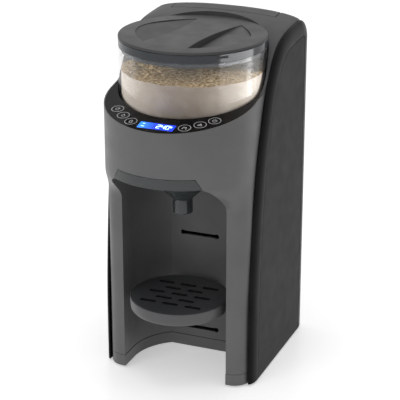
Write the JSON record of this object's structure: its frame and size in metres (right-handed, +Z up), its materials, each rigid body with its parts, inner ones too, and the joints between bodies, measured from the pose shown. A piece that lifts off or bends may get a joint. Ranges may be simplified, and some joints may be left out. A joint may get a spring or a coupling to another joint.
{
  "type": "baby formula maker",
  "caption": "Counter-top baby formula maker: clear powder hopper with twist lid over a slide-out mixing funnel, button panel, open bottle bay with drip tray, rear water tank.",
  "frame": {"origin": "centre of the bounding box's footprint, on the plane the feet stand on", "axes": "+Z up, front of the machine towards -Y, +X to the machine's right seen from the front"},
  "size_m": [0.162, 0.2166, 0.3519],
  "materials": {
    "grey_plastic": "fine satin grey moulding",
    "dark_plastic": "satin dark grey moulding",
    "gloss_black": "polished black moulding",
    "black_plastic": "plain black moulding",
    "clear_plastic": "clear polished moulding",
    "smoke_plastic": "smoked clear moulding",
    "display_blue": "lit blue display behind a clear window",
    "white_plastic": "plain white moulding",
    "powder": "granular milk powder",
    "rubber": "black rubber",
    "steel": "plain steel",
    "board_green": "coated circuit board"
  },
  "bodies": {
    "chassis": {"rubber_foot_1": "rubber", "rubber_foot_2": "rubber", "rubber_foot_3": "rubber", "rubber_foot_4": "rubber", "base_screw_1": "steel", "base_screw_2": "steel", "base_screw_3": "steel", "base_screw_4": "steel", "base_plate": "grey_plastic", "front_casing": "grey_plastic", "bay_lining": "grey_plastic", "hood": "grey_plastic", "rear_cover": "black_plastic", "tank_bay": "black_plastic", "side_panel_left": "dark_plastic", "side_panel_right": "dark_plastic", "side_trim_left": "gloss_black", "side_trim_right": "gloss_black", "hopper_seat": "black_plastic", "control_panel": "gloss_black", "display_window": "display_blue", "display_module": "black_plastic", "button_board": "board_green", "dosing_motor": "steel", "motor_bracket": "steel", "pump": "black_plastic", "heater": "steel", "suction_pipe": "white_plastic", "pressure_pipe": "white_plastic", "delivery_pipe": "white_plastic", "water_nozzle": "white_plastic", "control_board": "board_green", "power_board": "board_green", "power_inlet": "black_plastic"},
    "hopper_unit": {"hopper": "clear_plastic", "powder_fill": "powder"},
    "agitator": {"dosing_wheel": "white_plastic", "stirrer": "white_plastic"},
    "lid": {"lid_rim": "smoke_plastic", "hopper_lid": "grey_plastic"},
    "drive": {"drive_gear": "white_plastic", "drive_spindle": "steel"},
    "pinion": {"motor_pinion": "white_plastic"},
    "funnel_unit": {"funnel": "smoke_plastic"},
    "tray": {"drip_tray": "grey_plastic"},
    "grate": {"drip_grate": "dark_plastic"},
    "tank": {"water_tank": "smoke_plastic", "valve_cage": "smoke_plastic", "valve_spring": "steel"},
    "tank_cover": {"tank_lid": "grey_plastic"},
    "valve": {"tank_valve": "white_plastic"},
    "key_1": {"button_1": "gloss_black"},
    "key_2": {"button_2": "gloss_black"},
    "key_3": {"button_3": "gloss_black"},
    "key_4": {"button_4": "gloss_black"},
    "key_5": {"button_5": "gloss_black"},
    "key_6": {"button_6": "gloss_black"}
  },
  "joints": [
    {"name": "hopper_lift", "type": "slide", "parent": "chassis", "child": "hopper_unit", "axis": [0, 0, 1], "range_m": [0, 0.1]},
    {"name": "lid_lift", "type": "slide", "parent": "hopper_unit", "child": "lid", "axis": [0, 0, 1], "range_m": [0, 0.07]},
    {"name": "agitator_turn", "type": "hinge", "parent": "hopper_unit", "child": "agitator", "pos_m": [0, -0.0065, 0.264], "axis": [0, 0, 1], "continuous": true},
    {"name": "drive_turn", "type": "hinge", "parent": "chassis", "child": "drive", "pos_m": [0, -0.0065, 0.243], "axis": [0, 0, 1], "continuous": true},
    {"name": "pinion_turn", "type": "hinge", "parent": "chassis", "child": "pinion", "pos_m": [0, 0.0235, 0.243], "axis": [0, 0, 1], "continuous": true},
    {"name": "funnel_slide", "type": "slide", "parent": "chassis", "child": "funnel_unit", "axis": [0, -1, 0], "range_m": [0, 0.12]},
    {"name": "tray_slide", "type": "slide", "parent": "chassis", "child": "tray", "axis": [0, -1, 0], "range_m": [0, 0.12]},
    {"name": "grate_lift", "type": "slide", "parent": "tray", "child": "grate", "axis": [0, 0, 1], "range_m": [0, 0.05]},
    {"name": "tank_lift", "type": "slide", "parent": "chassis", "child": "tank", "axis": [0, 0, 1], "range_m": [0, 0.2]},
    {"name": "tank_lid_hinge", "type": "hinge", "parent": "tank", "child": "tank_cover", "pos_m": [0, 0.1057, 0.3355], "axis": [1, 0, 0], "range_deg": [-95, 0]},
    {"name": "tank_valve_slide", "type": "slide", "parent": "tank", "child": "valve", "axis": [0, 0, 1], "range_m": [0, 0.003], "stiffness_N_per_m": 150, "springref_m": -0.002, "deforming": ["valve_spring"]},
    {"name": "button_1_press", "type": "slide", "parent": "chassis", "child": "key_1", "axis": [0, 0.1961, -0.9806], "range_m": [0, 0.0008], "stiffness_N_per_m": 300, "springref_m": -0.001},
    {"name": "button_2_press", "type": "slide", "parent": "chassis", "child": "key_2", "axis": [0, 0.1961, -0.9806], "range_m": [0, 0.0008], "stiffness_N_per_m": 300, "springref_m": -0.001},
    {"name": "button_3_press", "type": "slide", "parent": "chassis", "child": "key_3", "axis": [0, 0.1961, -0.9806], "range_m": [0, 0.0008], "stiffness_N_per_m": 300, "springref_m": -0.001},
    {"name": "button_4_press", "type": "slide", "parent": "chassis", "child": "key_4", "axis": [0, 0.1961, -0.9806], "range_m": [0, 0.0008], "stiffness_N_per_m": 300, "springref_m": -0.001},
    {"name": "button_5_press", "type": "slide", "parent": "chassis", "child": "key_5", "axis": [0, 0.1961, -0.9806], "range_m": [0, 0.0008], "stiffness_N_per_m": 300, "springref_m": -0.001},
    {"name": "button_6_press", "type": "slide", "parent": "chassis", "child": "key_6", "axis": [0, 0.1961, -0.9806], "range_m": [0, 0.0008], "stiffness_N_per_m": 300, "springref_m": -0.001}
  ],
  "couplings": [
    {"joint": "pinion_turn", "follows": "drive_turn", "ratio": -4},
    {"joint": "agitator_turn", "follows": "drive_turn", "ratio": 1}
  ]
}
